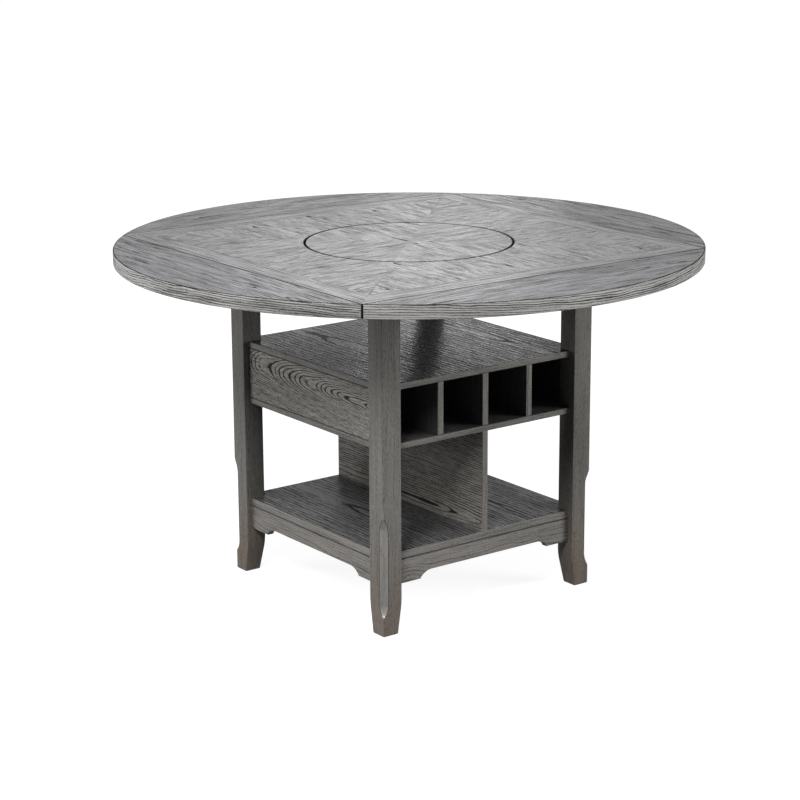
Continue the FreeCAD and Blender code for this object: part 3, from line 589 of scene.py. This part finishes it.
def shelf_skin(level, thick, cut, figures, finishes, bands, radius=0.0015):
    """A shelf veneered in two halves whose fibres run from front to back.

    figures gives the place, depth and slope of each half's cathedral figure; bands the
    finishes down its edge."""
    halves = []
    for number, (centre, depth, slope) in enumerate(figures):
        halves.append(lambda p, c=centre, d=depth, s=slope, n=number: lay(
            p, Y, X, (c, 0.0, level + thick), d, s, cut + n))

    def edges(points):
        """Fibres run along each edge."""
        front = np.abs(points[..., 1:2]) > np.abs(points[..., 0:1])
        along_x = lay(points, X, Z, (0.0, -SHELF_EDGE, level - 0.11), 0.05, 0.004, cut + 2)
        along_y = lay(points, Y, Z, (SHELF_EDGE, 0.0, level - 0.12), 0.05, 0.004, cut + 3)
        return np.where(front, along_x, along_y)

    outline = notched()
    return board_skin(outline, thick, flat_on(level), halves[0], edges, radius, halves,
                      finishes, [bands] * len(outline))


def apron_outline():
    """An apron from the front: its top edge, deep ears beside the legs, and an arc of 43.6 mm
    radius from each ear up to the shallow middle."""
    radius = 0.0436
    centre = np.array([0.1727, 0.1004])
    start = math.radians(34.2)
    ear_inner, ear_low, middle_low = 0.207, 0.125, 0.144
    angle = np.linspace(start, math.pi / 2, 13)
    curve = centre + radius * np.stack([np.cos(angle), np.sin(angle)], axis=1)
    curve[0] = (ear_inner, ear_low)
    curve[-1, 1] = middle_low
    right = np.concatenate([curve[::-1], [(LEG_INNER, ear_low), (LEG_INNER, APRON_TOP)]])
    left = right[::-1] * (-1, 1)
    return np.concatenate([right, left])


def rail_skin(outline, cut):
    """A rail or apron of the front side, its fibres along X.

    Finishes: 0 the wood, 1 the round under the board above, dark with painted shade."""
    low, high = outline[:, 1].min(), outline[:, 1].max()
    top = (outline[:, 1] == high) & (np.roll(outline[:, 1], -1) == high)
    at = (0.0, -RAIL_BACK, (low + high) / 2 - 0.05)
    return board_skin(outline, RAIL_THICK, facing_front(-RAIL_BACK),
                      lambda p: lay(p, X, Z, at, 0.05, 0.02, cut),
                      edges=[(1, 0, 0) if joint else (0, 0, 0) for joint in top])


# ---------------------------------------------------------------- finishes

class Nodes:
    """A node tree whose nodes are added one by one, each with its values and links."""

    def __init__(self, tree):
        self.tree = tree

    def add(self, kind, values=(), **options):
        node = self.tree.nodes.new("ShaderNode" + kind)
        for key, value in options.items():
            setattr(node, key, value)
        for socket, value in dict(values).items():
            self.put(node.inputs[socket], value)
        return node

    def put(self, socket, value):
        if isinstance(value, bpy.types.NodeSocket):
            self.tree.links.new(value, socket)
        else:
            socket.default_value = value

    def math(self, operation, first, second=0.0, third=0.0, clamp=False):
        node = self.add("Math", {0: first, 1: second, 2: third}, operation=operation)
        node.use_clamp = clamp
        return node.outputs[0]

    def ramp(self, value, low, high, to_low=0.0, to_high=1.0):
        """Smooth step of value from low to high."""
        node = self.add("MapRange", {"Value": value, "From Min": low, "From Max": high,
                                     "To Min": to_low, "To Max": to_high},
                        interpolation_type="SMOOTHSTEP")
        return node.outputs["Result"]

    def noise(self, vector, stretch, detail=2.0, rough=0.5):
        """Noise of the vector stretched by three factors, around 0.5."""
        scaled = self.add("VectorMath", {0: vector, 1: stretch}, operation="MULTIPLY")
        node = self.add("TexNoise", {"Vector": scaled.outputs[0], "Scale": 1.0,
                                     "Detail": detail, "Roughness": rough})
        return node.outputs[0]

    def swing(self, vector, stretch, detail=2.0, rough=0.5):
        """The same noise, around 0."""
        return self.math("SUBTRACT", self.noise(vector, stretch, detail, rough), 0.5)

    def mix(self, factor, first, second):
        node = self.add("Mix", data_type="RGBA")
        self.put(node.inputs[0], factor)
        for socket, value in ((node.inputs[6], first), (node.inputs[7], second)):
            self.put(socket, value)
        return node.outputs[2]


class Finish(Nodes):
    """A material and its nodes."""

    def __init__(self, name):
        self.material = bpy.data.materials.new(name)
        self.material.use_nodes = True
        super().__init__(self.material.node_tree)

    def shade(self, **values):
        shader = self.tree.nodes["Principled BSDF"]
        for socket, value in values.items():
            self.put(shader.inputs[socket.replace("_", " ")], value)
        return self.material


def srgb(red, green, blue):
    """A colour given as 0 to 255 in sRGB, as the linear colour a shader takes."""
    values = [channel / 255 for channel in (red, green, blue)]
    return tuple(v / 12.92 if v <= 0.04045 else ((v + 0.055) / 1.055) ** 2.4
                 for v in values) + (1.0,)


def ring_bands(wood, place, ring, wander, heart, band):
    """How strong the dark band of a growth ring is at each place, from 0 to 1.

    A ring's place is the distance from the trunk's heart, sqrt(v v + w w), where w is kept
    from reaching the heart so that cathedrals run out into straight grain.  It is warped by a
    broad noise, an uneven one and one in fine dashes along the fibres, then divided by the
    ring spacing.  Each ring begins with a dark porous band: full from band[0] of the spacing,
    fading from band[1] to band[2].  Its strength differs from ring to ring."""
    parts = wood.add("SeparateXYZ", {0: place}).outputs
    across, out = parts[1], parts[2]
    level = wood.math("MULTIPLY_ADD", wood.swing(place, (7.0, 5.0, 5.0), 1.0), 0.022, out)
    level = wood.math("SMOOTH_MAX", level, heart, 0.020)
    radius = wood.math("SQRT", wood.math(
        "ADD", wood.math("MULTIPLY", across, across), wood.math("MULTIPLY", level, level)))
    broad = ((2.4, 10.0, 10.0), 0.016)
    uneven = ((18.0, 60.0, 60.0), 0.6 * wander * ring)
    dashes = ((40.0, 700.0, 700.0), 0.25 * wander * ring)
    for stretch, reach in (broad, uneven, dashes):
        radius = wood.math("MULTIPLY_ADD", wood.noise(place, stretch, 1.0), reach, radius)
    turns = wood.math("DIVIDE", radius, ring)
    within = wood.math("FRACT", turns)
    chance = wood.add("TexWhiteNoise", {"W": wood.math("FLOOR", turns)},
                      noise_dimensions="1D").outputs["Value"]
    strength = wood.ramp(chance, 0.0, 1.0, 0.35, 1.0)
    dark = wood.math("MULTIPLY", wood.ramp(within, 0.0, band[0]),
                     wood.ramp(within, band[1], band[2], 1.0, 0.0))
    return wood.math("MULTIPLY", dark, strength)


def oak(name, pale, dark, *, ring=0.0050, wander=1.0, heart=0.004, band=(0.10, 0.25, 0.62),
        lines=1.0, specks=0.25, rare=0.5, dash=0.7, grit=380.0, streaks=1.0, brush=0.9,
        strokes=85.0, cloudy=0.5, worn=None, rough=0.38, sheen=0.55, relief=0.5,
        open_pores=0.0010):
    """Stained open-pored oak: pale, and dark where bands, pores, fibres and strokes add up.

    ring is the spacing of the growth rings, wander how far they stray, heart how close to the
    trunk's heart they come; lines, specks, streaks, brush and cloudy are the weights of bands,
    pores, fibres, strokes and clouds.  Fibres and strokes lie grit and strokes to the metre;
    rare sets how few the pores are and dash how short.  worn is the colour near the floor.
    rough is how dull pale wood is, and dark wood is duller; sheen is how strongly it mirrors.
    relief and open_pores are the strength and depth of the texture."""
    wood = Finish(name)
    place = wood.add("Attribute", attribute_name="grain").outputs["Vector"]
    bands = ring_bands(wood, place, ring, wander, heart, band)
    finest = 2.2 * grit
    pores = wood.ramp(wood.noise(place, (dash * grit, finest, finest), 1.0),
                      rare - 0.10, rare + 0.10)
    covered = 0.5 - 3.0 * (rare - 0.5)      # about the share of the wood that is pores
    fibre = wood.swing(place, (grit / 40, grit, grit), 3.0, 0.6)
    stroke = wood.swing(place, (strokes / 20, strokes, strokes), 3.0, 0.6)
    cloud = wood.swing(place, (1.7, 7.0, 7.0), 3.0)
    porous = wood.math("MULTIPLY", bands, wood.math("MULTIPLY_ADD", pores, 0.3, 0.7))
    shade = wood.math("MULTIPLY_ADD", porous, lines, 0.22 - covered * specks)
    shade = wood.math("MULTIPLY_ADD", pores, specks, shade)
    shade = wood.math("MULTIPLY_ADD", fibre, 1.5 * streaks, shade)
    shade = wood.math("MULTIPLY_ADD", stroke, brush * streaks, shade)
    shade = wood.math("MULTIPLY_ADD", cloud, cloudy, shade, clamp=True)
    if worn:
        high = wood.add("SeparateXYZ", {0: wood.add("TexCoord").outputs["Object"]}).outputs[2]
        pale = wood.mix(wood.ramp(high, 0.02, 0.30, 1.0, 0.0), pale, worn)
    colour = wood.mix(shade, pale, dark)
    height = wood.math("MULTIPLY_ADD", fibre, 0.7, wood.math("MULTIPLY", shade, -1.0))
    bump = wood.add("Bump", {"Strength": relief, "Distance": open_pores, "Height": height})
    gloss = wood.math("MULTIPLY_ADD", shade, 0.40, rough)
    return wood.shade(Base_Color=colour, Roughness=gloss, Normal=bump.outputs[0],
                      Specular_IOR_Level=0.62 * sheen)


def plain_metal(name, colour, metallic, rough):
    """Stamped metal, or plastic when metallic is 0, with a faint mottle from its own place."""
    metal = Finish(name)
    place = metal.add("TexCoord").outputs["Object"]
    mottle = metal.noise(place, (160.0, 160.0, 160.0), 3.0)
    tone = metal.mix(metal.ramp(mottle, 0.3, 0.7), colour,
                     tuple(0.75 * c for c in colour[:3]) + (1.0,))
    gloss = metal.math("MULTIPLY_ADD", mottle, 0.2, rough - 0.1)
    return metal.shade(Base_Color=tone, Metallic=metallic, Roughness=gloss)


def plain_wood(name, pale, dark):
    """Unstained hidden wood: soft streaks along the object's X axis."""
    wood = Finish(name)
    place = wood.add("TexCoord").outputs["Object"]
    streak = wood.noise(place, (3.0, 60.0, 90.0), 3.0)
    colour = wood.mix(wood.ramp(streak, 0.35, 0.7), pale, dark)
    return wood.shade(Base_Color=colour, Roughness=0.6)


TOP_GRAIN = dict(ring=0.0095, wander=0.6, heart=0.0098, band=(0.03, 0.07, 0.20), lines=1.4,
                 rare=0.57, grit=230.0, streaks=1.3, strokes=120.0, rough=0.27, sheen=0.62,
                 relief=0.35, open_pores=0.0011)

top_oak = oak("grey_oak_top", srgb(136, 135, 137), srgb(34, 34, 35), specks=0.55, dash=0.024,
              brush=1.35, cloudy=0.40, **TOP_GRAIN)
# The leaves are darker than the centre: painted shade, as the light falls off towards the rim.
leaf_oak_painted_shade = oak("grey_oak_leaf_painted_shade", srgb(118, 118, 120), srgb(26, 26, 27), specks=0.6, dash=0.026,
               brush=1.8, cloudy=0.45, **TOP_GRAIN)
rim_oak = oak("grey_oak_rim", srgb(158, 157, 155), srgb(24, 23, 22), wander=1.5, lines=1.5,
              streaks=1.4, rough=0.26, sheen=0.9)
body_oak = oak("grey_oak_body", srgb(122, 119, 115), srgb(38, 37, 35), wander=0.9, lines=0.5,
               specks=0.4, streaks=0.8, rough=0.30)
leg_oak = oak("grey_oak_leg", srgb(111, 109, 105), srgb(42, 40, 38), ring=0.0046, lines=0.35,
              specks=0.4, dash=0.3, streaks=0.6, worn=srgb(108, 98, 89), rough=0.24, relief=0.3)
# The legs' flats are paler than their faces: painted light.
flat_oak_painted_light = oak("grey_oak_flat_painted_light", srgb(134, 132, 128), srgb(50, 48, 46), ring=0.0046,
                  lines=0.3, specks=0.25, streaks=0.5, rough=0.22, sheen=1.0, relief=0.15)
# Paler than the body: partly the veneer's own tone, partly painted light on the rack's sides.
figured_oak_and_painted_light = oak("grey_oak_figured_painted_light", srgb(144, 141, 135), srgb(14, 13, 12), ring=0.0036,
                  wander=0.6, band=(0.10, 0.20, 0.46), lines=1.6, specks=0.3, grit=300.0,
                  streaks=1.2, brush=0.8, strokes=170.0, rough=0.30)
partition_oak = oak("grey_oak_partition", srgb(118, 116, 111), srgb(14, 13, 12), ring=0.0062,
                    wander=0.6, band=(0.08, 0.18, 0.42), lines=1.7, specks=0.35, grit=260.0,
                    streaks=1.2, brush=0.9, strokes=150.0, rough=0.30)
# Much darker than the body: painted shade under the top; the shelf shows mostly its gloss.
shelf_oak_painted_shade = oak("grey_oak_shelf_painted_shade", srgb(65, 66, 69), srgb(2, 2, 3), ring=0.0150, wander=0.5,
                band=(0.05, 0.10, 0.36), lines=2.4, specks=0.3, dash=0.06, grit=260.0,
                streaks=1.4, brush=0.8, strokes=90.0, rough=0.08, sheen=0.62, relief=0.8,
                open_pores=0.0014)
lower_oak = oak("grey_oak_lower_shelf", srgb(88, 88, 88), srgb(14, 14, 14), ring=0.0120,
                wander=0.8, band=(0.08, 0.16, 0.42), lines=1.1, specks=0.4, dash=0.15,
                grit=220.0, rough=0.28, sheen=0.25, relief=0.4, open_pores=0.0011)
# Dark lines at joints, beside the legs' flats and atop the rims; painted shade in the seams.
dark_line_and_shade = oak("dark_line_and_painted_shade", srgb(38, 37, 36), srgb(18, 17, 16), lines=0.4, rough=0.6,
                sheen=0.1)
# Painted shade, near black, in the rack's cells, under the shelves and under boards above.
painted_inside_shade = oak("painted_shade_inside", srgb(76, 76, 77), srgb(28, 28, 29), lines=0.5,
                   rough=0.5, relief=0.2, sheen=0.3)
hidden_wood = plain_wood("unstained_hardwood", srgb(176, 150, 116), srgb(150, 122, 88))
black_steel = plain_metal("black_steel", srgb(46, 46, 47), 0.6, 0.45)
zinc_steel = plain_metal("zinc_steel", srgb(178, 178, 176), 1.0, 0.38)
glide_plastic = plain_metal("glide_plastic", srgb(30, 30, 31), 0.0, 0.6)


# ---------------------------------------------------------------- pieces

show("veneered_centre_panel", centre_panel(), "table", "centre_panel",
     [top_oak, dark_line_and_shade, body_oak])
show("veneered_disc", susan_disc(), "lazy_susan", "lazy_susan_disc",
     [top_oak, dark_line_and_shade])
for side, turn in SIDES.items():
    show(f"veneered_leaf_{side}", leaf_skin(70 + turn).turned((turn + 3) % 4),
         f"leaf_{side}", f"leaf_{side}", [leaf_oak_painted_shade, dark_line_and_shade, rim_oak, body_oak])

for corner, turn in CORNERS.items():
    show(f"oak_leg_{corner}", leg_skin(90 + turn).turned(turn), "table", f"leg_{corner}",
         [leg_oak, dark_line_and_shade, flat_oak_painted_light])

# Painted shade: the upper shelf's underside, the rack floor's top and some edge rounds.
show("veneered_upper_shelf",
     shelf_skin(RACK_TOP, BOARD_THICK, 100, [(-0.134, 0.022, 0.06), (0.219, 0.013, -0.06)],
                (0, 1, 2), (1, 1, 2)),
     "table", "upper_shelf", [shelf_oak_painted_shade, body_oak, painted_inside_shade])
show("veneered_rack_floor",
     shelf_skin(RACK_LOW, BOARD_THICK, 104, [(-0.16, 0.030, 0.05), (0.16, 0.030, -0.05)],
                (1, 0, 0), (1, 0, 0)),
     "table", "rack_floor", [body_oak, painted_inside_shade])
show("veneered_lower_shelf",
     shelf_skin(APRON_TOP, LOW_SHELF_THICK, 108, [(-0.15, 0.020, 0.06), (0.17, 0.020, 0.06)],
                (0, 1, 0), (1, 1, 2), radius=0.0022),
     "table", "lower_shelf", [lower_oak, body_oak, painted_inside_shade])

apron = apron_outline()
top_rail = rectangle((-LEG_INNER, TOP_LOW - RAIL_HIGH), (LEG_INNER, TOP_LOW))
for side, turn in SIDES.items():
    show(f"oak_apron_{side}", rail_skin(apron, 120 + turn).turned(turn),
         "table", f"lower_apron_{side}", [body_oak, painted_inside_shade])
    show(f"oak_top_rail_{side}", rail_skin(top_rail, 130 + turn).turned(turn),
         "table", f"top_rail_{side}", [body_oak, painted_inside_shade])

# Painted shade on the rack sides' edges and inner faces.
rack_side = rectangle((-LEG_INNER, RACK_FLOOR), (LEG_INNER, RACK_TOP))
for side in ("left", "right"):
    turn = SIDES[side]
    skin = board_skin(
        rack_side, BOARD_THICK, facing_front(-RACK_SIDE_BACK),
        lambda p, t=turn: lay(p, -X, Z, (0.0, -SHELF_EDGE, 0.587), 0.036, 0.12, 140 + t,
                              tilt=0.030),
        radius=0.0009, finishes=(0, 1, 1))
    show(f"veneered_rack_side_{side}", skin.turned(turn), "table", f"rack_side_{side}",
         [figured_oak_and_painted_light, painted_inside_shade])

# Painted shade on the dividers' faces and on their top and bottom edges.
divider = rectangle((-PANEL_REACH, RACK_FLOOR), (PANEL_REACH, RACK_TOP))
for name, x in DIVIDERS.items():
    skin = board_skin(divider, DIVIDER_THICK, facing_left(x + DIVIDER_THICK / 2), upright,
                      radius=0.0010, finishes=(1, 0, 1), edges=[(1, 1, 1), (0, 0, 0)] * 2)
    show(f"veneered_divider_{name}", skin, "table", f"rack_divider_{name}",
         [body_oak, painted_inside_shade])

# Painted shade all over the rack's back.
rack_back = board_skin(
    rectangle((-RACK_SIDE_BACK, RACK_FLOOR), (RACK_SIDE_BACK, RACK_TOP)), RACK_BACK_THICK,
    facing_front(RACK_BACK_THICK / 2),
    lambda p: lay(p, X, Z, (0.0, 0.0, 0.5), 0.05, 0.02, 160), radius=0.0005)
show("stained_rack_back", rack_back, "table", "rack_back", [painted_inside_shade])

partition = board_skin(
    rectangle((-PANEL_REACH, LOW_SHELF_TOP), (PANEL_REACH, RACK_LOW)), PARTITION_THICK,
    facing_left(PARTITION_THICK / 2),
    lambda p: lay(p, Y, Z, (-PARTITION_THICK / 2, -0.27, 0.232), 0.012, -0.09, 170), upright,
    radius=0.0010, finishes=(0, 1, 0))
show("veneered_partition", partition, "table", "partition", [partition_oak, body_oak])

HARDWARE = {
    black_steel: ["hinge_plates_fixed", "hinge_pins", "stay_plates_fixed",
                  "bearing_upper_ring", "bearing_lower_ring"]
    + [f"leaf_{side}_{part}" for side in SIDES for part in ("hinge_plates", "stay_plate")]
    + [f"stay_{side}_{part}" for side in SIDES for part in ("arm", "link")],
    zinc_steel: ["wood_screws", "bearing_screws_upper", "hanger_bolts_and_nuts",
                 "bearing_balls"] + [f"leaf_{side}_screws" for side in SIDES],
    hidden_wood: ["corner_blocks", "lazy_susan_board"],
    glide_plastic: ["foot_glides"],
}
for finish, names in HARDWARE.items():
    for name in names:
        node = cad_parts[name]
        node.data.materials.clear()
        node.data.materials.append(finish)


# ---------------------------------------------------------------- room, light and camera

MIRRORED_FLOOR = 0.28          # how bright the white floor looks in the table's gloss
MIRRORED_BACKDROP = 0.55       # and the white backdrop
BACKDROP_LIGHT = 0.075         # how much light the backdrop gives
FLOOR_REACH = 30.0
SHADE_FROM, SHADE_TO = 0.8, 3.0    # the floor brightens from painted shade between these distances
WHITE = (1, 1, 1, 1)

MIDDLE = (0, 0, 0.6)
SOFT_BOXES = (      # name, place, target, width, height, power, shown in the gloss
    ("high_main_light", (-4.0, -2.5, 5.0), MIDDLE, 2.2, 2.2, 548, True),
    ("side_light_left", (-3.0, 2.1, 1.5), MIDDLE, 1.8, 1.6, 88, False),
    ("side_light_right", (2.9, -2.9, 1.3), MIDDLE, 1.8, 1.6, 160, False),
    ("low_overhead", (-0.22, -0.20, 1.72), (-0.22, -0.20, 0.9), 0.7, 0.7, 3.5, False),
    ("glare_on_the_top", (1.50, 2.18, 1.66), (0, 0, 0.91), 1.0, 0.56, 1.8, True),
    ("glare_on_the_shelf", (1.60, 1.78, 1.08), (0.1, 0.0, 0.64), 0.7, 0.3, 0.85, True),
)

EYE = (-3.4129, -4.5367, 1.9993)
YAW, PITCH, ROLL = 0.6405, 0.2600, -0.0052      # radians; yaw from +Y towards +X, pitch down
SENSOR_WIDTH, LENS = 36.0, 100.14               # millimetres


def stage_floor():
    """A wide pale floor with the table's soft shadow and a painted shade round the table, where
    its glow is dimmed: white to the eye, grey in reflections.
    """
    mesh = bpy.data.meshes.new("pale_floor")
    low, high = -FLOOR_REACH, FLOOR_REACH
    mesh.from_pydata([(low, low, 0), (high, low, 0), (high, high, 0), (low, high, 0)],
                     [], [(0, 1, 2, 3)])
    floor = bpy.data.objects.new("pale_floor", mesh)
    bpy.context.scene.collection.objects.link(floor)
    pale = Finish("pale_floor")
    path = pale.add("LightPath").outputs
    away = pale.add("VectorMath", {0: pale.add("TexCoord").outputs["Object"]},
                    operation="LENGTH").outputs["Value"]
    direct = pale.math("MAXIMUM", path["Is Camera Ray"], path["Is Transmission Ray"])
    seen = pale.math("MAXIMUM", direct, path["Is Glossy Ray"])
    level = pale.math("MULTIPLY_ADD", direct, 1.0 - MIRRORED_FLOOR, MIRRORED_FLOOR)
    glow = pale.add("Emission", {"Color": WHITE, "Strength": pale.math(
        "MULTIPLY", level, pale.ramp(away, SHADE_FROM, SHADE_TO, 0.90, 1.0))})
    matt = pale.add("BsdfDiffuse", {"Color": (0.25, 0.25, 0.25, 1)})
    both = pale.add("AddShader", {0: glow.outputs[0], 1: matt.outputs[0]})
    bounce = pale.add("BsdfDiffuse", {"Color": (0.10, 0.10, 0.10, 1)})
    mixed = pale.add("MixShader", {0: seen, 1: bounce.outputs[0], 2: both.outputs[0]})
    pale.put(pale.tree.nodes["Material Output"].inputs["Surface"], mixed.outputs[0])
    floor.data.materials.append(pale.material)


def backdrop():
    """A white backdrop, grey in reflections and dim as a light."""
    world = bpy.data.worlds.new("studio")
    bpy.context.scene.world = world
    world.use_nodes = True
    sky = Nodes(world.node_tree)
    light = sky.tree.nodes["Background"]
    sky.put(light.inputs["Color"], (0.96, 0.98, 1.0, 1))
    sky.put(light.inputs["Strength"], BACKDROP_LIGHT)
    path = sky.add("LightPath").outputs
    seen = sky.math("MAXIMUM", path["Is Camera Ray"], path["Is Glossy Ray"])
    level = sky.math("MULTIPLY_ADD", path["Is Camera Ray"], 1.0 - MIRRORED_BACKDROP,
                     MIRRORED_BACKDROP)
    white = sky.add("Background", {"Color": WHITE, "Strength": level})
    mixed = sky.add("MixShader", {0: seen, 1: light.outputs[0], 2: white.outputs[0]})
    sky.put(sky.tree.nodes["World Output"].inputs["Surface"], mixed.outputs[0])


def soft_box(name, place, target, width, height, power, mirrored):
    """A rectangular lamp turned towards its target, which the camera doesn't see."""
    data = bpy.data.lights.new(name, "AREA")
    data.shape = "RECTANGLE"
    data.size = width
    data.size_y = height
    data.energy = power
    lamp = bpy.data.objects.new(name, data)
    bpy.context.scene.collection.objects.link(lamp)
    lamp.location = place
    lamp.visible_camera = False
    lamp.visible_glossy = mirrored
    lamp.rotation_euler = (Vector(target) - Vector(place)).to_track_quat("-Z", "Y").to_euler()


def camera():
    """A long lens at eye height, looking down at the front left corner."""
    ahead = Vector((math.cos(PITCH) * math.sin(YAW), math.cos(PITCH) * math.cos(YAW),
                    -math.sin(PITCH)))
    level = Vector((math.cos(YAW), -math.sin(YAW), 0.0))
    above = level.cross(ahead)
    right = math.cos(ROLL) * level + math.sin(ROLL) * above
    up = -math.sin(ROLL) * level + math.cos(ROLL) * above
    data = bpy.data.cameras.new("camera")
    data.sensor_width = SENSOR_WIDTH
    data.lens = LENS
    eye = bpy.data.objects.new("camera", data)
    bpy.context.scene.collection.objects.link(eye)
    turn = Matrix((right, up, -ahead)).transposed().to_4x4()
    eye.matrix_world = Matrix.Translation(EYE) @ turn
    bpy.context.scene.camera = eye


stage_floor()
backdrop()
for box in SOFT_BOXES:
    soft_box(*box)
camera()
bpy.context.scene.view_settings.view_transform = "Standard"
